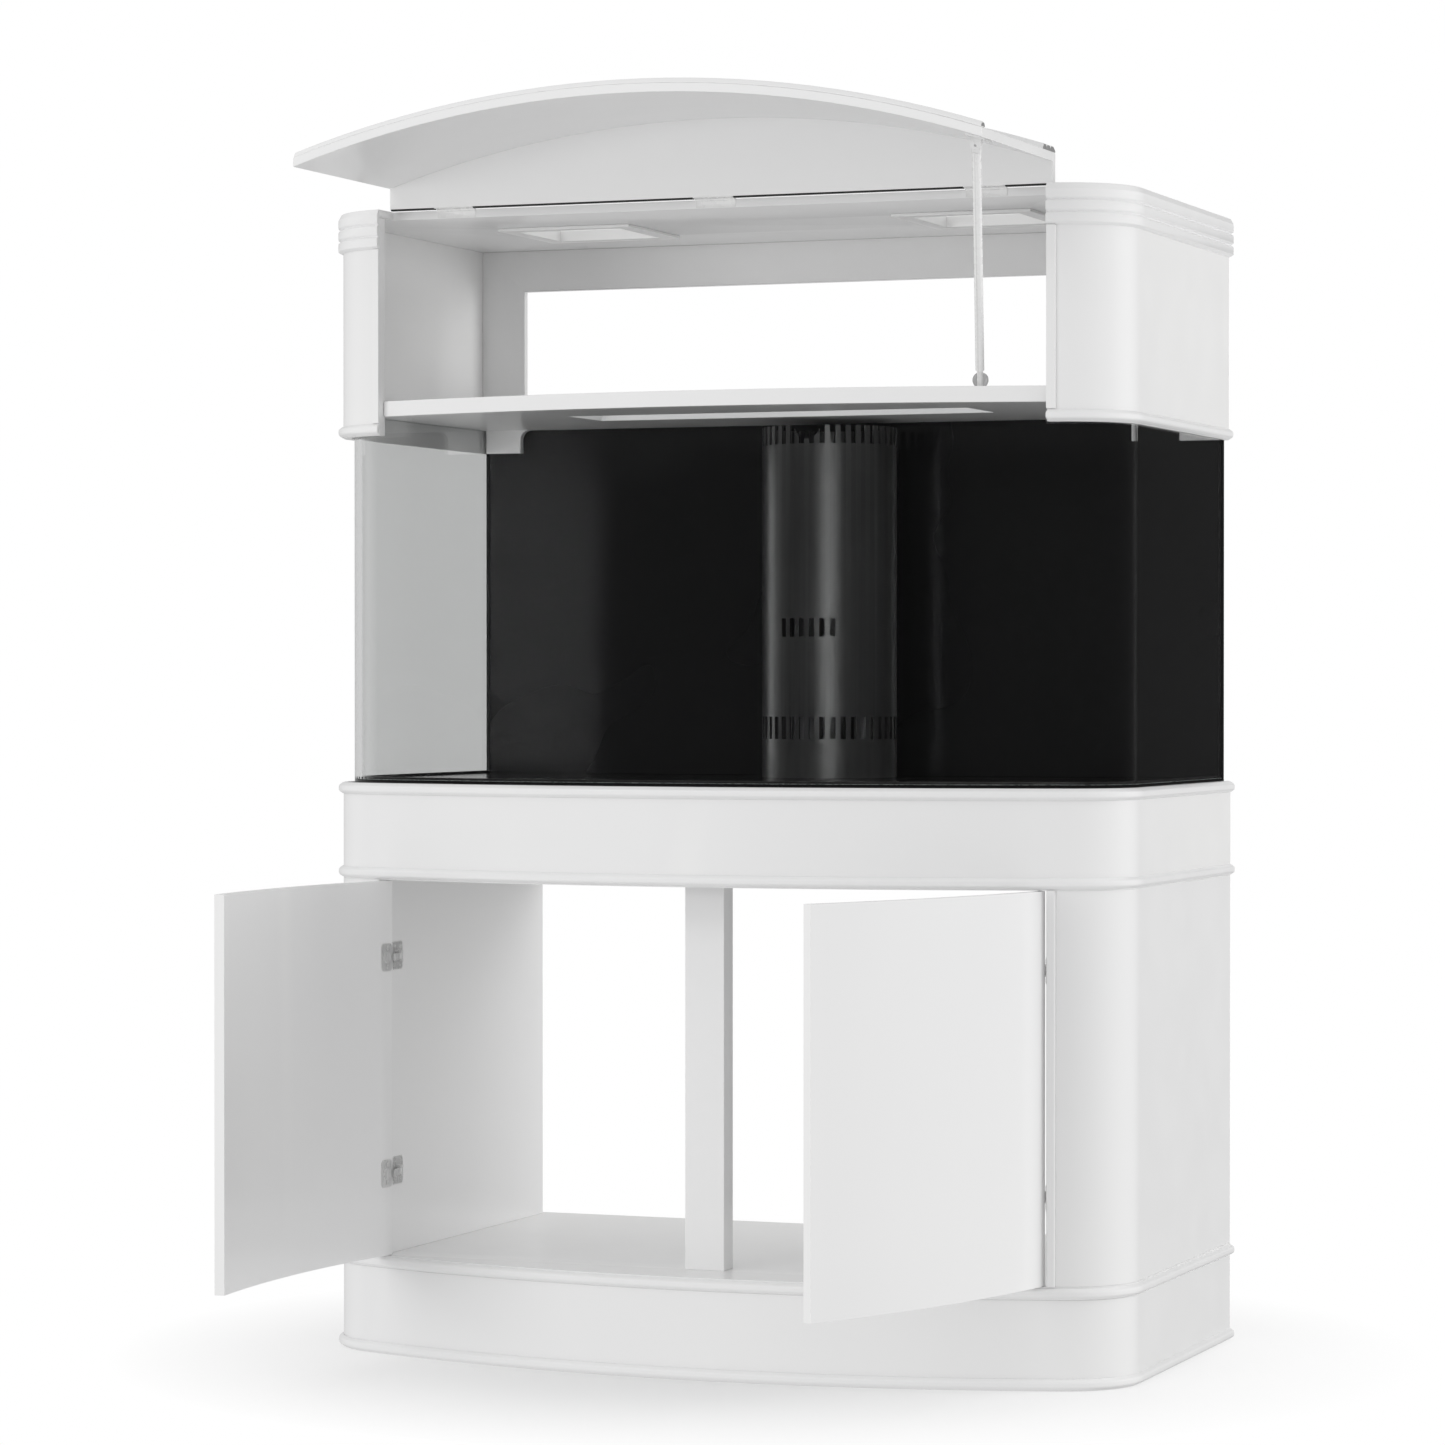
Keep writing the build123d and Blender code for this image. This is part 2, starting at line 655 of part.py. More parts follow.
def clear_the_tank():
    """Cut room for the glass and the back pane out of the part that is being built."""
    reach = GLASS_HALF + GLASS_CLEAR
    glass_room = footprint(reach, GLASS_DEPTH + GLASS_CLEAR, GLASS_CORNER + GLASS_CLEAR, -OVERCUT)
    slab(glass_room, HOOD_BOTTOM - OVERCUT, TANK_RIM, mode=Mode.SUBTRACT)
    with BuildSketch() as pane_room:
        with Locations((0, BACK - (PANE_FRONT + GLASS_CLEAR) / 2)):
            Rectangle(2 * reach, PANE_FRONT + GLASS_CLEAR)
    slab(pane_room.sketch, TANK_RIM, PANE_TOP + GLASS_CLEAR, mode=Mode.SUBTRACT)


def crown_points():
    """The outside of the stacked beads under the hood's top edge."""
    points = [(0, CROWN_BOTTOM)]
    for row in range(CROWN_COUNT):
        low = CROWN_FIRST + row * CROWN_PITCH
        groove = low - (CROWN_PITCH - CROWN_FLAT) / 2
        valley = [(CROWN_VALLEY, groove)] if row else []
        points += valley + [(BEAD_PROUD, low), (BEAD_PROUD, low + CROWN_FLAT)]
    return points + [(CROWN_CAP, HOOD_TOP), (0, HOOD_TOP)]


def make_hood():
    for name, side in (("left", -1), ("right", 1)):
        shell_plan = between(wall(0, SKIN_THICK, HOOD_BACK), STILE_OUTER, BODY_WIDTH, side)
        with BuildPart() as shell:
            slab(shell_plan, HOOD_BOTTOM, CEILING)
            clear_the_tank()
        save(shell, f"{name}_hood_shell")

    with BuildPart() as stiles:
        strip = wall(-STILE_PROUD, STILE_DEPTH)
        slab(between(strip, STILE_INNER, STILE_OUTER), HOOD_BOTTOM + BEAD_HEIGHT, CROWN_BOTTOM)
        core = wall(0, STILE_DEPTH)
        slab(between(core, STILE_INNER, STILE_OUTER), HOOD_BOTTOM, CEILING)
    save(stiles, "hood_stiles")

    for name, points in (
        ("hood_bead", bead_points(HOOD_BOTTOM, BEAD_HEIGHT)),
        ("hood_crown", crown_points()),
    ):
        with BuildPart() as bead:
            moulding(points, COLUMNS, back=HOOD_BACK)
        save(bead, name)

    frame_spots = [(side * FRAME_X, BACK - FRAME_DEPTH) for side in (-1, 1)]
    collar = [size + 2 * FRAME_COLLAR for size in FRAME_OPENING]
    with BuildPart() as light_frames:
        for size, low, high in (
            (FRAME_FLANGE, CEILING - FRAME_DROP, CEILING),
            (collar, CEILING, HOOD_TOP),
        ):
            with BuildSketch(Plane.XY.offset(low)):
                with Locations(*frame_spots):
                    Rectangle(*size)
                    Rectangle(*FRAME_OPENING, mode=Mode.SUBTRACT)
            extrude(amount=high - low)
    save(light_frames, "light_frames")

    with BuildPart() as top_panel:
        slab(body(0, HOOD_BACK), CEILING, HOOD_TOP)
        with BuildSketch(Plane.XY.offset(CEILING)):
            with Locations((0, BACK - LID_AXIS_DEPTH + LID_GAP - PLENTY / 2)):
                Rectangle(2 * STILE_INNER, PLENTY)
            with Locations(*frame_spots):
                Rectangle(*collar)
        extrude(amount=TOP_THICK, mode=Mode.SUBTRACT)
    save(top_panel, "hood_top_panel")

    with BuildPart() as back_panel:
        with BuildSketch(upright(HOOD_PANEL_BACK)):
            width = BODY_WIDTH - 2 * SKIN_THICK
            with Locations((0, (TANK_RIM + CEILING) / 2)):
                Rectangle(width, CEILING - TANK_RIM)
            with Locations((0, (HOOD_BOTTOM + TANK_RIM) / 2)):
                Rectangle(2 * LEG_OUTER, TANK_RIM - HOOD_BOTTOM)
            with Locations((0, (WINDOW_BOTTOM + WINDOW_TOP) / 2)):
                Rectangle(2 * WINDOW_HALF, WINDOW_TOP - WINDOW_BOTTOM, mode=Mode.SUBTRACT)
            notch = (2 * LEG_INNER, 2 * (TANK_RIM - HOOD_BOTTOM))
            with Locations((0, HOOD_BOTTOM)):
                RectangleRounded(*notch, NOTCH_CORNER, mode=Mode.SUBTRACT)
        extrude(amount=HOOD_PANEL_THICK)
    save(back_panel, "hood_back_panel")

    with BuildPart() as shelf:
        shelf_back = HOOD_PANEL_BACK + HOOD_PANEL_THICK
        slab(body(SHELF_INSET, shelf_back), TANK_RIM, TANK_RIM + SHELF_THICK)
        lip_bottom = TANK_RIM + SHELF_THICK - SHELF_LIP
        lip = middle_of(wall(SHELF_INSET, SHELF_LIP_INSET), STILE_INNER - SHELF_CLEAR)
        slab(lip, lip_bottom, TANK_RIM)
        with BuildSketch(Plane.XY.offset(TANK_RIM)):
            slot_width, near, far = SHELF_SLOT
            with Locations((0, BACK - (near + far) / 2)):
                Rectangle(slot_width, far - near)
            stile_room = wall(-OVERCUT, STILE_DEPTH + SHELF_CLEAR)
            add(between(stile_room, STILE_INNER - SHELF_CLEAR, STILE_OUTER + SHELF_CLEAR))
        extrude(amount=SHELF_THICK, mode=Mode.SUBTRACT)
    save(shelf, "hood_shelf")


# ---- Lid: the front of the hood --------------------------------------------------------------


def make_lid():
    frame = swung(0, BACK - LID_AXIS_DEPTH, HOOD_TOP, (1, 0, 0), -LID_OPEN)
    with BuildPart() as lid_front:
        slab(middle_of(wall(0, SKIN_THICK), LID_HALF), HOOD_BOTTOM, CEILING, frame)
    save(lid_front, "lid_front")

    with BuildPart() as lid_top:
        with BuildSketch(frame.offset(CEILING)):
            add(middle_of(body(), LID_HALF))
            with Locations((0, BACK - LID_AXIS_DEPTH - LID_GAP + PLENTY / 2)):
                Rectangle(PLENTY, PLENTY, mode=Mode.SUBTRACT)
        extrude(amount=TOP_THICK)
    save(lid_top, "lid_top")

    for name, points in (
        ("lid_bead", bead_points(HOOD_BOTTOM, BEAD_HEIGHT)),
        ("lid_crown", crown_points()),
    ):
        with BuildPart() as bead:
            moulding(points, FRONT, frame, HOOD_BACK)
        save(bead, name)

    axis_y = BACK - LID_AXIS_DEPTH
    knuckle = LEAF_LENGTH / KNUCKLES
    for name, way, place, phase in (
        ("lid_hinge_fixed_leaves", 1, Plane.XY, 0),
        ("lid_hinge_moving_leaves", -1, frame, 1),
    ):
        with BuildPart() as leaves:
            for x in LID_HINGE_X:
                start = (x - LEAF_LENGTH / 2, axis_y, HOOD_TOP)
                section = on(place, Plane(origin=start, x_dir=(0, 1, 0), z_dir=(1, 0, 0)))
                with BuildSketch(section):
                    with Locations((way * (LID_GAP - LEAF_THICK / 2), -LEAF_DROP / 2)):
                        Rectangle(LEAF_THICK, LEAF_DROP)
                extrude(amount=LEAF_LENGTH)
                for index in range(KNUCKLES):
                    mine = index % 2 == phase
                    gap = 0 if mine else ARM_GAP
                    with BuildSketch(section.offset(index * knuckle - gap)):
                        Circle(KNUCKLE_RADIUS if mine else KNUCKLE_RADIUS + 2 * ARM_GAP)
                    extrude(amount=knuckle + 2 * gap, mode=Mode.ADD if mine else Mode.SUBTRACT)
                with BuildSketch(section):
                    Circle(LID_HINGE_PIN + PIN_CLEARANCE)
                extrude(amount=LEAF_LENGTH, mode=Mode.SUBTRACT)
        save(leaves, name)

    with BuildPart() as pins:
        for x in LID_HINGE_X:
            with Locations(Location((x, axis_y, HOOD_TOP), (0, 90, 0))):
                Cylinder(LID_HINGE_PIN, LEAF_LENGTH)
    save(pins, "lid_hinge_pins")


# ---- Prop rod --------------------------------------------------------------------------------


def footprint_beyond_lid():
    """Everything in plan in front of the lid's inner face."""
    with BuildSketch() as beyond:
        Rectangle(PLENTY, 2 * PLENTY)
        add(body(SKIN_THICK, -PLENTY), mode=Mode.SUBTRACT)
    return beyond.sketch


def make_prop_rod():
    """The rod, its bracket and pin on the lid, and the rest on the shelf that it stands against."""
    top = Vector(ROD_TOP[0], BACK - ROD_TOP[1], ROD_TOP[2])
    foot = Vector(ROD_FOOT[0], BACK - ROD_FOOT[1], ROD_FOOT[2])
    down = (foot - top).normalized()
    axis = down.cross(Vector(*ROD_STOWED)).normalized()
    length = (foot - top).length
    along = Plane(origin=top, x_dir=axis, z_dir=down)
    across = Plane(origin=top, x_dir=down, z_dir=axis)
    neck_start = length - ROD_NECK_LENGTH

    with BuildPart() as rod:
        with BuildSketch(across.offset(-ROD_EYE_THICK / 2)):
            Circle(ROD_EYE)
            with Locations((ROD_SHOULDER / 2 + OVERCUT, 0)):
                Rectangle(ROD_SHOULDER + 2 * OVERCUT, 2 * ROD_RADIUS)
        extrude(amount=ROD_EYE_THICK)
        with BuildSketch(along.offset(ROD_SHOULDER)):
            Circle(ROD_RADIUS)
        extrude(amount=neck_start - ROD_SHOULDER)
        with BuildSketch(along.offset(neck_start)):
            Circle(ROD_NECK)
        extrude(amount=ROD_NECK_LENGTH + ROD_NECK_END)
        with BuildSketch(across.offset(-ROD_EYE_THICK)):
            Circle(ROD_PIN + PIN_CLEARANCE)
        extrude(amount=2 * ROD_EYE_THICK, mode=Mode.SUBTRACT)
    save(rod, "prop_rod")

    shelf_top = TANK_RIM + SHELF_THICK
    with BuildPart() as rest:
        with BuildSketch(upright(REST_DEPTH)):
            with Locations((REST_X, shelf_top + REST_RADIUS)):
                Circle(REST_RADIUS)
                Circle(REST_HOLE, mode=Mode.SUBTRACT)
        extrude(amount=REST_THICK)
        with BuildSketch(Plane.XY.offset(shelf_top)):
            with Locations((REST_X, BACK - REST_DEPTH - REST_THICK / 2)):
                RectangleRounded(*REST_BASE, 2 * REST_BASE_THICK)
        extrude(amount=REST_BASE_THICK)
    save(rest, "prop_rod_rest")

    frame = swung(0, BACK - LID_AXIS_DEPTH, HOOD_TOP, (1, 0, 0), -LID_OPEN)
    bow_slope = top.X / (BOW_RADIUS - SKIN_THICK)
    up_to_lid = Vector(bow_slope, 0, sqrt(1 - bow_slope**2))
    rise = (BOW_RADIUS - SKIN_THICK) * (1 - bow_slope**2) ** 0.5 - BOW_CENTRE - LID_AXIS_DEPTH
    seat_gap = (HOOD_TOP + rise - top.Z) * up_to_lid.Z
    toward = up_to_lid - axis * up_to_lid.dot(axis)
    lug_plane = Plane(origin=top, x_dir=toward, z_dir=axis)
    seat = Plane(origin=top + up_to_lid * seat_gap, x_dir=(0, 1, 0), z_dir=-up_to_lid)
    lug_start = ROD_EYE_THICK / 2 + ARM_GAP
    with BuildPart() as bracket:
        with BuildSketch(seat):
            RectangleRounded(*BRACKET_SIZE, ROD_EYE / 2)
        extrude(amount=ROD_LUG_THICK, both=True)
        for way in (-1, 1):
            with BuildSketch(lug_plane.offset(way * lug_start)):
                Circle(ROD_LUG)
                with Locations((ROD_SHOULDER, 0)):
                    Rectangle(2 * ROD_SHOULDER, 2 * ROD_LUG)
            extrude(amount=way * ROD_LUG_THICK)
        slab(footprint_beyond_lid(), 0, HOOD_TOP, frame, Mode.SUBTRACT)
        with BuildSketch(lug_plane):
            Circle(ROD_PIN)
        extrude(amount=2 * ROD_EYE, both=True, mode=Mode.SUBTRACT)
    save(bracket, "prop_rod_bracket")

    with BuildPart() as pin:
        with BuildSketch(lug_plane):
            Circle(ROD_PIN)
        extrude(amount=lug_start + ROD_LUG_THICK, both=True)
    save(pin, "prop_rod_pin")


make_stand()
for door_name, door_side, door_opened in (("left", -1, LEFT_OPEN), ("right", 1, RIGHT_OPEN)):
    make_door(door_name, door_side, door_opened)
    make_hinge_arms(door_name, door_side, door_opened)
make_hinge_plates()
make_tank()
make_overflow()
make_hood()
make_lid()
make_prop_rod()
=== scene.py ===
import json
from math import cos, pi, radians, sin

import bmesh
import bpy
from mathutils import Euler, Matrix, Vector


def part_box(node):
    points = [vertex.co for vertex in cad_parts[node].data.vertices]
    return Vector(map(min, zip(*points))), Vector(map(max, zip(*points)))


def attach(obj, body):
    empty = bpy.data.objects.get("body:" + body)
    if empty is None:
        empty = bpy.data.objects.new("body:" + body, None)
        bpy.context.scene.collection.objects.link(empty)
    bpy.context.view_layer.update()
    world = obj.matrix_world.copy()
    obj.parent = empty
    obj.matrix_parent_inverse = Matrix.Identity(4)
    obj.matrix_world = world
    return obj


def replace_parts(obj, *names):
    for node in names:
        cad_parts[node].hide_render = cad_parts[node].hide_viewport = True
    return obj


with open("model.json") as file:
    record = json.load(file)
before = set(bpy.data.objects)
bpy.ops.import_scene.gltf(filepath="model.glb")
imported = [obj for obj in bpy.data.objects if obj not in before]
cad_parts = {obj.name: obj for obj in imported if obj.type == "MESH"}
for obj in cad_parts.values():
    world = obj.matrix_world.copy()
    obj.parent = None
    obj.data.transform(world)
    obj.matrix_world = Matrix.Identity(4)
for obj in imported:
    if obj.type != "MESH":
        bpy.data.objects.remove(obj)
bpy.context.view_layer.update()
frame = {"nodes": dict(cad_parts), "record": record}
nodes = frame["nodes"]
body_of_node = {
    node: body for body, members in frame["record"]["behaviour"]["bodies"].items() for node in members
}
slot_of_node = {part["node"]: part["material_slot"] for part in frame["record"]["subparts"]}

MM = 0.001
SMOOTH_ANGLE = radians(32)


# ---- Materials -------------------------------------------------------------------------------


class Nodes:
    """A small helper that adds and links shader nodes."""

    def __init__(self, name):
        self.material = bpy.data.materials.new(name)
        self.material.use_nodes = True
        self.tree = self.material.node_tree
        self.shader = self.tree.nodes["Principled BSDF"]
        self.place = self.add("ShaderNodeTexCoord").outputs["Object"]

    def add(self, kind, **settings):
        node = self.tree.nodes.new(kind)
        for key, value in settings.items():
            setattr(node, key, value)
        return node

    def link(self, source, target):
        self.tree.links.new(source, target)

    def set(self, **values):
        for key, value in values.items():
            self.shader.inputs[key.replace("_", " ")].default_value = value

    def stretched(self, scale):
        mapping = self.add("ShaderNodeMapping")
        mapping.inputs["Scale"].default_value = scale
        self.link(self.place, mapping.inputs["Vector"])
        return mapping.outputs["Vector"]

    def noise(self, scale, detail=3.0, stretch=None):
        node = self.add("ShaderNodeTexNoise")
        node.inputs["Scale"].default_value = scale
        node.inputs["Detail"].default_value = detail
        self.link(self.stretched(stretch) if stretch else self.place, node.inputs["Vector"])
        return node.outputs["Fac"]

    def spread(self, source, low, high, start=0.3, end=0.7):
        node = self.add("ShaderNodeMapRange")
        for name, value in (("From Min", start), ("From Max", end), ("To Min", low), ("To Max", high)):
            node.inputs[name].default_value = value
        self.link(source, node.inputs["Value"])
        return node.outputs["Result"]

    def blend(self, factor, first, second):
        node = self.add("ShaderNodeMix", data_type="RGBA")
        self.link(factor, node.inputs["Factor"])
        for value, socket in ((first, node.inputs["A"]), (second, node.inputs["B"])):
            if hasattr(value, "is_linked"):
                self.link(value, socket)
            else:
                socket.default_value = (*value, 1.0)
        return node.outputs["Result"]

    def edge_wear_and_highlight(self, low=0.52, high=0.6):
        """1 on sharp outer edges and 0 elsewhere: edge wear, and on the lacquer a painted highlight."""
        return self.spread(self.add("ShaderNodeNewGeometry").outputs["Pointiness"], 0.0, 1.0, low, high)

    def bump(self, height, distance, strength=1.0):
        node = self.add("ShaderNodeBump")
        node.inputs["Distance"].default_value = distance
        node.inputs["Strength"].default_value = strength
        self.link(height, node.inputs["Height"])
        return node.outputs["Normal"]

    def finish(self, colour=None, roughness=None, normal=None):
        for source, name in ((colour, "Base Color"), (roughness, "Roughness"), (normal, "Normal")):
            if source:
                self.link(source, self.shader.inputs[name])
        return self.material


def lacquer():
    """Sprayed gloss lacquer on fibreboard: faint orange peel, faint clouding and a painted highlight that
    makes sharp outer edges lighter.
    """
    n = Nodes("white_lacquer")
    n.set(IOR=1.5, Coat_Weight=0.35, Coat_Roughness=0.12)
    cloud = n.spread(n.noise(2.3, 4.0), 0.0, 1.0)
    tint = n.blend(cloud, (0.845, 0.845, 0.848), (0.868, 0.867, 0.866))
    # painted highlight: sharp outer edges are lighter than the rest
    colour = n.blend(n.edge_wear_and_highlight(), tint, (0.885, 0.884, 0.88))
    roughness = n.spread(n.noise(16.0, 1.0), 0.30, 0.36)
    peel = n.bump(n.noise(240.0, 1.0), 0.03 * MM, 0.15)
    return n.finish(colour, roughness, peel)


def white_enamel():
    """Baked enamel on bar and strip, a little worn where the edges rub."""
    n = Nodes("white_enamel")
    n.set(IOR=1.5)
    cloud = n.spread(n.noise(14.0, 4.0), 0.0, 1.0)
    tint = n.blend(cloud, (0.83, 0.83, 0.83), (0.87, 0.87, 0.865))
    colour = n.blend(n.edge_wear_and_highlight(0.58, 0.66), tint, (0.72, 0.72, 0.715))
    roughness = n.spread(n.noise(90.0, 4.0), 0.22, 0.34)
    return n.finish(colour, roughness, n.bump(n.noise(500.0, 2.0), 0.04 * MM, 0.35))


def lid_end_shade():
    """Painted shade on the end faces of the lid's mouldings: a dull dark grey with faint streaks."""
    n = Nodes("lid_end_shade")
    n.set(IOR=1.48)
    end_streaks = n.noise(900.0, 4.0, (1.0, 0.3, 1.0))
    colour = n.blend(n.spread(end_streaks, 0.0, 1.0), (0.23, 0.23, 0.23), (0.29, 0.288, 0.285))
    return n.finish(colour, n.spread(end_streaks, 0.55, 0.75), n.bump(end_streaks, 0.06 * MM, 0.5))


def clear_glass():
    """Float glass bent over a mould: nearly clear, with a slow ripple. Soft light passes it."""
    n = Nodes("clear_glass")
    n.set(Transmission_Weight=1.0, IOR=1.46, Specular_IOR_Level=0.15)
    colour = n.blend(n.spread(n.noise(3.0), 0.0, 1.0), (0.966, 0.973, 0.971), (0.972, 0.978, 0.976))
    roughness = n.spread(n.noise(24.0, 4.0), 0.0, 0.012)
    ripple = n.bump(n.noise(4.0, 1.0, (1.0, 1.0, 0.35)), 1.0 * MM, 0.12)
    n.finish(colour, roughness, ripple)
    rays = n.add("ShaderNodeLightPath").outputs
    passing = n.add("ShaderNodeMath", operation="MAXIMUM")
    n.link(rays["Is Shadow Ray"], passing.inputs[0])
    n.link(rays["Is Diffuse Ray"], passing.inputs[1])
    mixed = n.add("ShaderNodeMixShader")
    n.link(passing.outputs[0], mixed.inputs["Fac"])
    n.link(n.shader.outputs[0], mixed.inputs[1])
    n.link(n.add("ShaderNodeBsdfTransparent").outputs[0], mixed.inputs[2])
    n.link(mixed.outputs[0], n.tree.nodes["Material Output"].inputs["Surface"])
    return n.material


def glass_edge():
    """The ground and polished edge of a pane."""
    n = Nodes("glass_edge")
    n.set(Transmission_Weight=0.6, IOR=1.46)
    colour = n.blend(n.spread(n.noise(40.0), 0.0, 1.0), (0.60, 0.70, 0.67), (0.72, 0.80, 0.77))
    roughness = n.spread(n.noise(300.0, 4.0), 0.18, 0.4)
    return n.finish(colour, roughness, n.bump(n.noise(900.0), 0.05 * MM, 0.4))


def black_glass():
    n = Nodes("black_glass")
    n.set(IOR=1.5, Specular_IOR_Level=0.3)
    colour = n.blend(n.spread(n.noise(1.4, 3.0), 0.0, 1.0), (0.0075, 0.0075, 0.008), (0.011, 0.011, 0.011))
    roughness = n.spread(n.noise(26.0, 5.0), 0.12, 0.16)
    return n.finish(colour, roughness, n.bump(n.noise(6.0, 1.0), 0.2 * MM, 0.03))


def plastic(name, first, second, rough, grain=700.0):
    n = Nodes(name)
    n.set(IOR=1.49)
    tint = n.blend(n.spread(n.noise(9.0, 4.0), 0.0, 1.0), first, second)
    # lighter on sharp outer edges
    colour = n.blend(n.edge_wear_and_highlight(), tint, tuple(min(1.0, 1.5 * part + 0.01) for part in second))
    roughness = n.spread(n.noise(60.0, 4.0), *rough)
    return n.finish(colour, roughness, n.bump(n.noise(grain, 3.0), 0.05 * MM, 0.4))


def metal(name, first, second, rough, stretch=(1.0, 1.0, 1.0), grain=0.4, metallic=1.0):
    n = Nodes(name)
    n.set(Metallic=metallic)
    tint = n.blend(n.spread(n.noise(30.0, 4.0), 0.0, 1.0), first, second)
    colour = n.blend(n.edge_wear_and_highlight(), tint, tuple(min(1.0, 1.15 * part) for part in second))
    streaks = n.noise(500.0, 4.0, stretch)
    return n.finish(colour, n.spread(streaks, *rough), n.bump(streaks, 0.03 * MM, grain))


def silicone():
    n = Nodes("silicone")
    n.set(IOR=1.41)
    colour = n.blend(n.spread(n.noise(50.0), 0.0, 1.0), (0.018, 0.018, 0.018), (0.03, 0.03, 0.03))
    lumps = n.bump(n.noise(90.0, 3.0), 0.4 * MM, 0.5)
    return n.finish(colour, n.spread(n.noise(80.0), 0.3, 0.5), lumps)


materials = {
    "white_lacquer": lacquer(),
    "white_enamel": white_enamel(),
    "lid_end_shade": lid_end_shade(),
    "glass": clear_glass(),
    "glass_edge": glass_edge(),
    "black_glass": black_glass(),
    "silicone": silicone(),
    "black_plastic": plastic("black_plastic", (0.010, 0.010, 0.011), (0.015, 0.015, 0.015), (0.3, 0.34)),
    "grey_pvc": plastic("grey_pvc", (0.13, 0.13, 0.135), (0.17, 0.17, 0.172), (0.35, 0.5)),
    "white_plastic": plastic("white_plastic", (0.80, 0.80, 0.795), (0.84, 0.84, 0.835), (0.35, 0.45)),
    "steel": metal(
        "steel", (0.68, 0.68, 0.68), (0.78, 0.78, 0.775), (0.25, 0.4), stretch=(1.0, 1.0, 0.06), metallic=0.4
    ),
    "chrome": metal("chrome", (0.74, 0.74, 0.75), (0.80, 0.80, 0.80), (0.16, 0.26), grain=0.1, metallic=0.45),
}


# ---- Pieces from the frame -------------------------------------------------------------------


def new_piece(name, mesh, body, slot):
    piece = bpy.data.objects.new(name, mesh)
    bpy.context.scene.collection.objects.link(piece)
    mesh.materials.append(materials[slot])
    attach(piece, body)
    return piece


def clean_copy(node):
    """The node's surface, ready for rounding: its triangles are joined into flat faces, except on
    the nodes in KEPT_TRIANGLES."""
    mesh = bmesh.new()
    mesh.from_mesh(nodes[node].data)
    bmesh.ops.remove_doubles(mesh, verts=mesh.verts, dist=WELD_DISTANCE)
    if node not in KEPT_TRIANGLES:
        bmesh.ops.dissolve_limit(mesh, angle_limit=FLAT_ANGLE, verts=mesh.verts, edges=mesh.edges)
    return mesh


def turn_normals_outwards(data):
    """Gives the upright walls of a round tube the normals of a true cylinder."""
    upright = cos(SMOOTH_ANGLE)
    xs = [vertex.co.x for vertex in data.vertices]
    ys = [vertex.co.y for vertex in data.vertices]
    centre = Vector(((min(xs) + max(xs)) / 2, (min(ys) + max(ys)) / 2, 0))
    normals = []
    for face in data.polygons:
        for index in face.vertices:
            out = (data.vertices[index].co - centre) * Vector((1, 1, 0))
            out.normalize()
            facing = face.normal.dot(out)
            if facing > upright:
                normals.append(out)
            elif facing < -upright:
                normals.append(-out)
            else:
                normals.append(face.normal)
    data.normals_split_custom_set(normals)


def round_edges(piece, width):
    """Rounds every edge sharper than the angle and shades the flats between them as flats."""
    bevel = piece.modifiers.new("round_edges", "BEVEL")
    bevel.width = width
    bevel.segments = ROUNDING_SEGMENTS
    bevel.limit_method = "ANGLE"
    bevel.angle_limit = SMOOTH_ANGLE
    bevel.harden_normals = True
    bevel.miter_outer = "MITER_ARC"
    bevel.use_clamp_overlap = True


def finished_copy(node, width):
    """A copy of the node with rounded edges, in the finish of the node's slot. A node in
    ROUND_TUBES keeps its sharp edges and gets a cylinder's normals."""
    mesh = clean_copy(node)
    data = bpy.data.meshes.new(f"{node}.finished")
    mesh.to_mesh(data)
    mesh.free()
    data.shade_smooth()
    piece = new_piece(f"{node}.finished", data, body_of_node[node], slot_of_node[node])
    data.set_sharp_from_angle(angle=SMOOTH_ANGLE)
    if node in SECOND_FINISH_AND_SHADE:
        finish, axis = SECOND_FINISH_AND_SHADE[node]
        data.materials.append(materials[finish])
        for face in data.polygons:
            face.material_index = int(abs(face.normal.dot(Vector(axis))) > cos(SMOOTH_ANGLE))
    if node in ROUND_TUBES:
        turn_normals_outwards(data)
    else:
        round_edges(piece, width)
    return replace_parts(piece, node)


WELD_DISTANCE = 0.004 * MM
FLAT_ANGLE = radians(0.25)  # faces that meet at less than this are joined into one
ROUNDING_SEGMENTS = 3
PANEL_ROUNDING = 1.0
ROUNDING = {
    "base_bead": 2.4, "floor_bead": 2.4, "door_head_bead": 2.4, "tank_rim_bead": 2.2,
    "hood_bead": 2.4, "lid_bead": 2.4, "hood_crown": 1.8, "lid_crown": 1.8,
    "left_door": 1.4, "right_door": 1.4, "centre_post": 0.8, "tank_back_pane": 0.8,
    "tank_bent_glass": 1.0, "tank_bottom_glass": 1.0, "silicone_seams": 0.8,
    "drain_pipe": 0.8, "return_pipe": 0.6, "tank_bulkheads": 1.0, "bulkhead_nuts": 1.2,
    "door_hinge_plates": 0.3, "door_hinge_screws": 0.25, "door_hinge_arm_pins": 0.3,
    "left_hinge_arms": 0.5, "right_hinge_arms": 0.5,
    "left_door_hinge_cups": 0.4, "right_door_hinge_cups": 0.4,
    "left_door_pivots": 0.5, "right_door_pivots": 0.5, "lid_hinge_fixed_leaves": 0.2,
    "lid_hinge_moving_leaves": 0.2, "lid_hinge_pins": 0.3, "prop_rod": 0.8, "prop_rod_rest": 1.0,
    "prop_rod_bracket": 0.6, "prop_rod_pin": 0.5, "light_frames": 0.8,
}  # the width of the rounding on each node's edges, in mm, where it isn't PANEL_ROUNDING
KEPT_TRIANGLES = {"hood_top_panel", "lid_crown"}  # joined into flat faces, lid_crown shades wrongly
ROUND_TUBES = {"overflow_tube"}
SECOND_FINISH_AND_SHADE = {
    "lid_bead": ("lid_end_shade", (1, 0, 0)),
    "lid_crown": ("lid_end_shade", (1, 0, 0)),
    "tank_bent_glass": ("glass_edge", (0, 0, 1)),
}  # the finish of the faces that look along an axis; on the lid's mouldings this is painted shade
for node in nodes:
    finished_copy(node, ROUNDING.get(node, PANEL_ROUNDING) * MM)
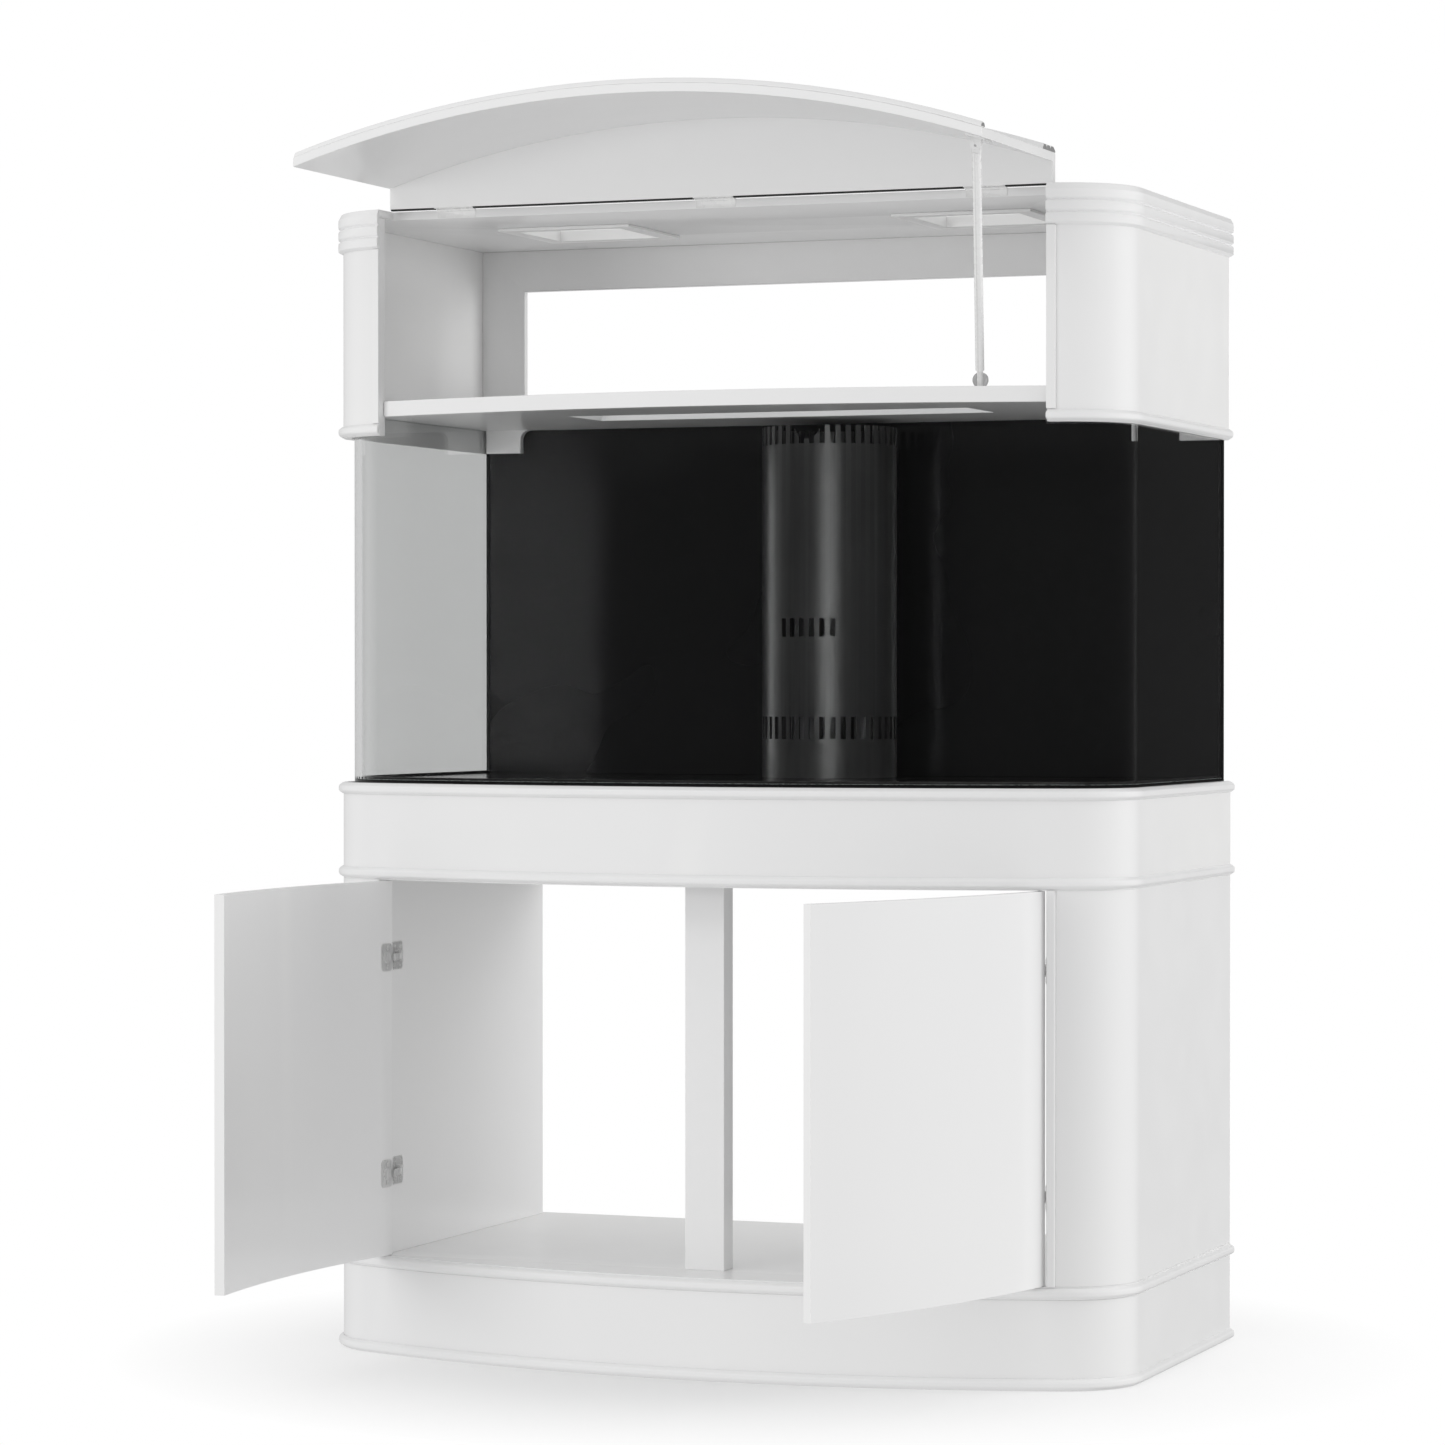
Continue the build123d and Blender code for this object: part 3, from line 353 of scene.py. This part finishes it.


# ---- Pieces added here -----------------------------------------------------------------------

# a dark strip that paints the shade of the gap along the lid's hinge edge
SHADE_STRIP_THICK = 2.4 * MM
SHADE_STRIP_INSET = 1.0 * MM  # from each face of the lid's edge
SHADE_STRIP_GAP = 1.0 * MM  # from each hinge and each end of the lid
SHADE_STRIP_STEPS = 12
SHADE_STRIP_SQUARENESS = 0.3  # the power of the sine: 1 is a half ellipse and 0 a box
DOME_RADIUS = 3.2 * MM
DOME_HEIGHT = 1.3 * MM
DOME_SLOT = 0.55 * MM  # half the slot's width
DOME_SLOT_LEVEL = 0.35  # the slot's floor, as a part of the dome's height
DOME_ROWS = 5
DOME_STEPS = 24
SCREW_OFFSET = 13.5 * MM  # from the middle of the plate
EDGE_BAND = 0.1 * MM  # points this near a plate's lowest one are on its lower edge
HINGE_APART = 0.1  # hinges stand further apart than this


def hinge_spans(node):
    """The stretches in x that the solids of a node take, from left to right."""
    mesh = bmesh.new()
    mesh.from_mesh(nodes[node].data)
    spans = []
    for x in sorted(vertex.co.x for vertex in mesh.verts):
        if spans and x - spans[-1][1] < HINGE_APART:
            spans[-1][1] = x
        else:
            spans.append([x, x])
    mesh.free()
    return spans


def make_lid_gap_shade_strip():
    """A dark strip on the lid's hinge edge that paints the shade of the gap there, in lengths that leave room
    for the hinges.
    """
    lid_low, lid_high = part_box("lid_top")
    hinges = hinge_spans("lid_hinge_moving_leaves")
    starts = [lid_low[0]] + [high for _, high in hinges]
    ends = [low for low, _ in hinges] + [lid_high[0]]
    front = lid_low[1] + SHADE_STRIP_INSET
    back = lid_high[1] - SHADE_STRIP_INSET
    middle = (front + back) / 2
    radius = (back - front) / 2
    section = []
    for step in range(SHADE_STRIP_STEPS + 1):
        turn = pi * step / SHADE_STRIP_STEPS
        depth = SHADE_STRIP_THICK * sin(turn) ** SHADE_STRIP_SQUARENESS
        section.append((middle - radius * cos(turn), lid_low[2] - depth))
    mesh = bmesh.new()
    for start, end in zip(starts, ends):
        rings = []
        for x in (start + SHADE_STRIP_GAP, end - SHADE_STRIP_GAP):
            rings.append([mesh.verts.new((x, y, z)) for y, z in section])
        for step in range(len(section)):
            after = (step + 1) % len(section)
            mesh.faces.new((rings[0][step], rings[1][step], rings[1][after], rings[0][after]))
        mesh.faces.new(rings[0])
        mesh.faces.new(rings[1][::-1])
    bmesh.ops.recalc_face_normals(mesh, faces=mesh.faces)
    data = bpy.data.meshes.new("lid_gap_shade_strip")
    mesh.to_mesh(data)
    mesh.free()
    data.shade_smooth()
    data.set_sharp_from_angle(angle=SMOOTH_ANGLE)
    new_piece("lid_gap_shade_strip", data, "lid", "silicone")


def levels(node):
    """The vertices of each solid of a node whose solids stand one above another."""
    groups = []
    for point in sorted((vertex.co.copy() for vertex in nodes[node].data.vertices), key=lambda co: co.z):
        if groups and point.z - groups[-1][-1].z < HINGE_APART:
            groups[-1].append(point)
        else:
            groups.append([point])
    return groups


def add_dome(mesh, centre, outward):
    """A domed screw head with a straight slot, standing on a plane at centre."""
    side = outward.cross(Vector((0, 0, 1))).normalized()
    up = Vector((0, 0, 1))
    rings = []
    for row in range(DOME_ROWS):
        lean = row / DOME_ROWS * pi / 2
        ring = []
        for step in range(DOME_STEPS):
            turn = 2 * pi * step / DOME_STEPS
            across = DOME_RADIUS * cos(lean) * cos(turn)
            along = DOME_RADIUS * cos(lean) * sin(turn)
            in_slot = abs(across) < DOME_SLOT and row > 0
            height = DOME_HEIGHT * sin(lean) * (DOME_SLOT_LEVEL if in_slot else 1.0)
            ring.append(mesh.verts.new(centre + side * across + up * along + outward * height))
        rings.append(ring)
    for lower, upper in zip(rings, rings[1:]):
        for step in range(DOME_STEPS):
            after = (step + 1) % DOME_STEPS
            mesh.faces.new((lower[step], lower[after], upper[after], upper[step]))
    mesh.faces.new(rings[-1])
    mesh.faces.new(rings[0][::-1])


def make_door_plate_screws(door):
    """Two domed screws through each hinge plate on a door, above and below its cup."""
    mesh = bmesh.new()
    for points in levels(f"{door}_hinge_cups"):
        low = Vector([min(point[axis] for point in points) for axis in range(3)])
        high = Vector([max(point[axis] for point in points) for axis in range(3)])
        middle_height = (low.z + high.z) / 2
        edge = [point for point in points if abs(point.z - low.z) < EDGE_BAND]
        along = max((a - b for a in edge for b in edge), key=lambda span: span.length) * Vector((1, 1, 0))
        outward = along.cross(Vector((0, 0, 1))).normalized()
        by_reach = sorted(points, key=lambda point: point.dot(outward))
        # the cup is at the plate's middle height, and outward is turned to the side it stands on
        if abs(by_reach[0].z - middle_height) < abs(by_reach[-1].z - middle_height):
            outward = -outward
        face = max(point.dot(outward) for point in edge)
        centre = sum(edge, Vector()) / len(edge)
        centre += outward * (face - centre.dot(outward))
        for way in (-1, 1):
            add_dome(mesh, Vector((centre.x, centre.y, middle_height + way * SCREW_OFFSET)), outward)
    bmesh.ops.recalc_face_normals(mesh, faces=mesh.faces)
    data = bpy.data.meshes.new(f"{door}_plate_screws")
    mesh.to_mesh(data)
    mesh.free()
    data.shade_smooth()
    data.set_sharp_from_angle(angle=SMOOTH_ANGLE)
    new_piece(f"{door}_plate_screws", data, door, "steel")


make_lid_gap_shade_strip()
make_door_plate_screws("left_door")
make_door_plate_screws("right_door")


# ---- Studio ----------------------------------------------------------------------------------

CAMERA_PLACE = (2.4087, -6.3747, 0.9642)
CAMERA_YAW = 0.37097
CAMERA_PITCH = -0.008326
CAMERA_LENS = 117.13


def make_camera():
    data = bpy.data.cameras.new("camera")
    data.lens = CAMERA_LENS
    data.sensor_width = CAMERA_SENSOR
    data.clip_end = CAMERA_REACH
    camera = bpy.data.objects.new("camera", data)
    camera.location = CAMERA_PLACE
    camera.rotation_euler = Euler((pi / 2 + CAMERA_PITCH, 0, CAMERA_YAW))
    bpy.context.scene.collection.objects.link(camera)
    bpy.context.scene.camera = camera


def make_world():
    """A white studio for the camera and for soft light. Gloss and glass see it bright behind on
    the left and dark elsewhere. Rays that have crossed the glass also see two soft upright bands."""
    world = bpy.data.worlds.new("studio")
    bpy.context.scene.world = world
    world.use_nodes = True
    tree = world.node_tree

    def add(kind, inputs=(), **settings):
        node = tree.nodes.new(kind)
        for key, value in settings.items():
            setattr(node, key, value)
        for name, value in dict(inputs).items():
            if hasattr(value, "is_linked"):
                tree.links.new(value, node.inputs[name])
            else:
                node.inputs[name].default_value = value
        return node

    def math(operation, first, second=0.0):
        return add("ShaderNodeMath", {0: first, 1: second}, operation=operation).outputs[0]

    def ramp(value, start, end, low, high):
        limits = {"From Min": start, "From Max": end, "To Min": low, "To Max": high}
        return add("ShaderNodeMapRange", {"Value": value, **limits}).outputs["Result"]

    direction = add("ShaderNodeTexCoord").outputs["Generated"]
    axes = add("ShaderNodeSeparateXYZ", {"Vector": direction}).outputs
    azimuth = math("ARCTAN2", axes["X"], math("MULTIPLY", axes["Y"], -1.0))
    level = ramp(azimuth, *LEFT_EDGE, GLASS_LIGHT, FRONT_LIGHT)
    rays = add("ShaderNodeLightPath").outputs
    inside = math("GREATER_THAN", rays["Transmission Depth"], PANE_SURFACES)
    for centre, light in INSIDE_BANDS:
        off_band = math("ABSOLUTE", math("SUBTRACT", azimuth, centre))
        level = math("ADD", level, math("MULTIPLY", inside, ramp(off_band, *BAND_EDGES, light, 0.0)))
    scattered = math("GREATER_THAN", rays["Diffuse Depth"], ANY_BOUNCE)
    for choice, value in ((scattered, WORLD_LIGHT), (rays["Is Camera Ray"], 1.0)):
        level = add("ShaderNodeMix", {"Factor": choice, "A": level, "B": value}).outputs["Result"]
    background = tree.nodes["Background"]
    background.inputs["Color"].default_value = (1.0, 1.0, 1.0, 1.0)
    tree.links.new(level, background.inputs["Strength"])


def make_floor():
    """A pale floor that fades to the plain white of the studio."""
    bpy.ops.mesh.primitive_circle_add(vertices=FLOOR_SIDES, radius=FLOOR_RADIUS, fill_type="NGON")
    floor = bpy.context.object
    floor.name = "floor"
    n = Nodes("floor")
    n.set(Base_Color=(0.93, 0.93, 0.93, 1.0), Roughness=0.75)
    distance = n.add("ShaderNodeVectorMath", operation="LENGTH")
    n.link(n.place, distance.inputs[0])
    glow = n.add("ShaderNodeEmission")
    fade = n.spread(distance.outputs["Value"], 0.0, 1.0, *FLOOR_FADE)
    mixed = n.add("ShaderNodeMixShader")
    n.link(fade, mixed.inputs["Fac"])
    n.link(n.shader.outputs[0], mixed.inputs[1])
    n.link(glow.outputs[0], mixed.inputs[2])
    n.link(mixed.outputs[0], n.tree.nodes["Material Output"].inputs["Surface"])
    floor.data.materials.append(n.material)
    floor.visible_glossy = False
    floor.visible_diffuse = False
    floor.visible_transmission = False


def soft_box(name, place, target, size, power, mirrored=False):
    """A soft light that surfaces show as a gleam only if it is mirrored."""
    data = bpy.data.lights.new(name, "AREA")
    data.shape = "RECTANGLE"
    data.size, data.size_y = size
    data.energy = power
    light = bpy.data.objects.new(name, data)
    light.location = place
    light.rotation_euler = (Vector(target) - Vector(place)).to_track_quat("-Z", "Y").to_euler()
    light.visible_glossy = mirrored
    light.visible_transmission = mirrored
    bpy.context.scene.collection.objects.link(light)


CAMERA_SENSOR = 36.0
CAMERA_REACH = 200.0
WORLD_LIGHT = 0.76  # the whole studio, as light scattered by a surface sees it
ANY_BOUNCE = 0.5  # a depth above this is one bounce or more
GLASS_LIGHT = 0.62  # the studio behind on the left, as gloss and glass see it
FRONT_LIGHT = 0.03  # the rest of the studio, as gloss and glass see it
LEFT_EDGE = (radians(-80), radians(-58))  # azimuths from the front over which GLASS_LIGHT fades
INSIDE_BANDS = ((radians(18), 5.5), (radians(-102), 1.6))  # azimuth from the front, brightness
BAND_EDGES = (radians(4), radians(20))
PANE_SURFACES = 2.5  # a ray that has crossed more surfaces than this sees the bands
FLOOR_RADIUS = 60.0
FLOOR_SIDES = 96
FLOOR_FADE = (0.35, 0.95)  # distances from the middle over which the floor fades
MIDDLE = (0.0, 0.0, 0.9)

make_camera()
make_world()
make_floor()
soft_box("front_high", (-1.5, -5.0, 4.2), MIDDLE, (4.0, 1.6), 30, True)
soft_box("front_low", (-2.6, -5.6, 1.1), (0.0, 0.0, 0.7), (2.4, 1.6), 58)
soft_box("right_side", (4.6, 1.7, 1.6), MIDDLE, (3.0, 2.0), 95)
soft_box("behind", (0.0, 1.7, 0.6), (0.0, -0.2, 0.2), (1.2, 0.7), 3)
bpy.context.scene.view_settings.view_transform = "Standard"
